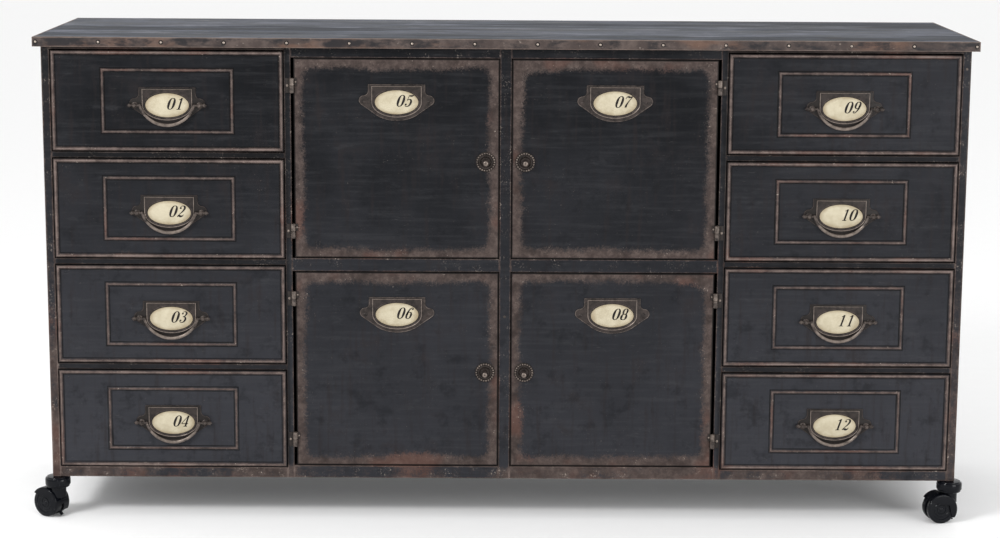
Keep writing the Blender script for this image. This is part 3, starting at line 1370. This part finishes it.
def slab(loop, half_w, bevel=0.0):
    """A plate cut to an outline in X and Z, in millimetres, on both sides of y = 0."""
    return plate_of([in_mm(loop)], -half_w, 2 * half_w, bevel)


def slot_for_brake(x, z):
    """What is cut from the hood and its web for the brake lever, up to x and z in millimetres."""
    return block((slot_x, -slot_half_w, slot_z), (x * MM, slot_half_w, z * MM))


hood = ease(drum(hood_r, hood_out), hood_corner, 4)
neck = add(
    bpy.ops.mesh.primitive_cylinder_add, vertices=48, radius=neck_r, depth=neck_h,
    location=(-trail, 0, neck_z),
)
combine(hood, neck, "UNION")
combine(hood, drum(wheel_r + wheel_gap, hood_in), "DIFFERENCE")
below_edge = [(-48, -40), (42, -40), (42, 21), (-13, 8), (-18.5, -14), (-48, -14)]
combine(hood, slab(below_edge, hood_out + MM), "DIFFERENCE")
combine(hood, slot_for_brake(-16, -1), "DIFFERENCE")
ease(hood, hood_edge, 2, 50)
web = slab([(-23, 0), (-10, 0), (-10, -9), (10, -9), (10, 15), (6, 26), (-23, 26)], web_half_w)
combine(web, drum(hood_r - web_sink, web_half_w + MM), "INTERSECT")
combine(web, drum(axle_bore_r, web_half_w + MM), "DIFFERENCE")
combine(web, slot_for_brake(-12, 11), "DIFFERENCE")
brake_pin = drum(brake_pin_r, web_half_w, -trail, brake_pin_z)
hood = moved(joined([hood, web, brake_pin]), (trail, 0, wheel_r))
cup = tipped(turned(in_mm([
    (0, 54.5), (19, 54.5), (20, 55.4), (20, 57.6), (20.6, 58.2), (21.6, 58.6), (22, 59.6), (22, 69.2),
    (21.2, 70.8), (19.6, 71.2), (19, 71.8), (18.6, 73.0), (17.6, 73.2), (0, 73.2),
]), 64), -90)
caster_black = moulded_black("caster_black", CASTER_BLACK, 0.13)
hood = painted(joined([hood, cup]), caster_black)
stem = turned(in_mm([
    (0, 69), (4, 69), (4, 104), (3.6, 105), (3.2, 105.5), (3.6, 106), (3, 107), (0, 107),
]), 24)
hood = joined([hood, painted(tipped(stem, -90), bare_steel("stem_steel"))])

half_wheels = [
    (0, 15.8), (2.4, 15.8), (3.4, 15.3), (4.0, 14.6), (6.6, 14.6), (7.2, 15.7), (8.4, 15.7), (9.0, 14.8),
    (12.0, 14.8), (12.5, 15.4), (13.5, 15.4), (14.0, 14.8), (17.2, 14.8), (17.8, 15.9), (22.6, 15.9),
    (24.0, 15.5), (24.8, 14.6), (25.0, 13.4), (25.0, 7.0), (24.6, 5.6), (23.6, 4.9), (3.0, 4.9),
]
other_half = [(r, -h) for r, h in reversed(half_wheels)]
wheels = moved(turned(in_mm(half_wheels + other_half), 72), (trail, 0, wheel_r))
wheel_black = moulded_black("wheel_black", WHEEL_BLACK, 0.24)

tab_loop = [(-1.5, 0), (1.5, 0), (1, -19), (-6.5, -27.5), (-9, -26), (-1.8, -18)]
tab = slab(tab_loop, brake_half_w, tab_corner)
combine(tab, drum(tab_hole_r, brake_half_w + MM), "DIFFERENCE")
eye = moved(closed_ring(eye_in, eye_out, 2 * brake_half_w, eye_corner), (0, brake_half_w, 0))
brake = moved(joined([tab, eye]), (0, 0, wheel_r + brake_pin_z))

stem_y = {"f": frame_low.y + post_w / 2, "r": frame_high.y - post_w / 2}
for corner, angle in TRAIL_ANGLES.items():
    name = f"caster_{corner}"
    place = (-post_x if corner[1] == "l" else post_x, stem_y[corner[0]], 0)
    turn = math.radians(angle)
    fit(copied(hood, place, turn), name + "_moulded_hood", name, None, [name + "_hood"])
    fit(
        copied(wheels, place, turn), name + "_twin_wheels", name + "_wheel_pair",
        wheel_black, [name + "_wheels"],
    )
    if corner[0] == "f":
        fit(
            copied(brake, place, turn), name + "_brake_tab", name + "_brake_lever",
            caster_black, [name + "_brake"],
        )
removed(hood, wheels, brake)

# The size of the whole, before and after
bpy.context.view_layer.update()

# The studio: a pale floor, white surroundings, soft lights, and the camera
camera_place = (-12.2 * MM, -4000 * MM, 1167.8 * MM)
pitch, yaw, roll = 0.1738, 0.0009, 0.0057
focal_px = 2251.3
photo_w_px = 1000
film_w = 36
camera_shift = -0.03
FLOOR_PALE = (0.91, 0.91, 0.91, 1)
FLOOR_WHITE = (0.94, 0.94, 0.94, 1)

floor = add(bpy.ops.mesh.primitive_plane_add, size=120)
floor.name = "floor"
floor_finish = Finish("floor_pale")
speckle = floor_finish.noise(floor_finish.place(), 30, 4)
floor.data.materials.append(floor_finish.surface({
    "Base Color": floor_finish.mix(speckle, FLOOR_PALE, FLOOR_WHITE),
    "Roughness": 0.65,
}))
world = bpy.data.worlds.new("studio")
bpy.context.scene.world = world
world.use_nodes = True
background = world.node_tree.nodes["Background"].inputs
background["Color"].default_value = (1, 1, 1, 1)
background["Strength"].default_value = 1.0
bpy.context.scene.view_settings.view_transform = "Standard"


def soft_light(name, place, target, size, power):
    """An area light that faces a point, its sides in metres and its power in watts."""
    light = bpy.data.lights.new(name, "AREA")
    light.shape = "RECTANGLE"
    light.size, light.size_y = size
    light.energy = power
    lamp = new_piece(name, light)
    lamp.location = place
    lamp.rotation_euler = (Vector(target) - Vector(place)).to_track_quat("-Z", "Y").to_euler()


soft_light("key", (-2.2, -2.4, 2.4), (0, 0, 0.5), (1.0, 0.7), 80)
soft_light("fill", (2.4, -2.6, 0.9), (0, 0, 0.2), (1.6, 1.4), 45)

camera = bpy.data.cameras.new("camera")
camera.sensor_width = film_w
camera.lens = focal_px * film_w / photo_w_px
camera.shift_y = camera_shift
camera_stand = new_piece("camera", camera)
camera_stand.location = camera_place
camera_stand.rotation_euler = (
    Matrix.Rotation(-yaw, 4, "Z")
    @ Matrix.Rotation(math.pi / 2 - pitch, 4, "X")
    @ Matrix.Rotation(roll, 4, "Z")
).to_euler()
bpy.context.scene.camera = camera_stand
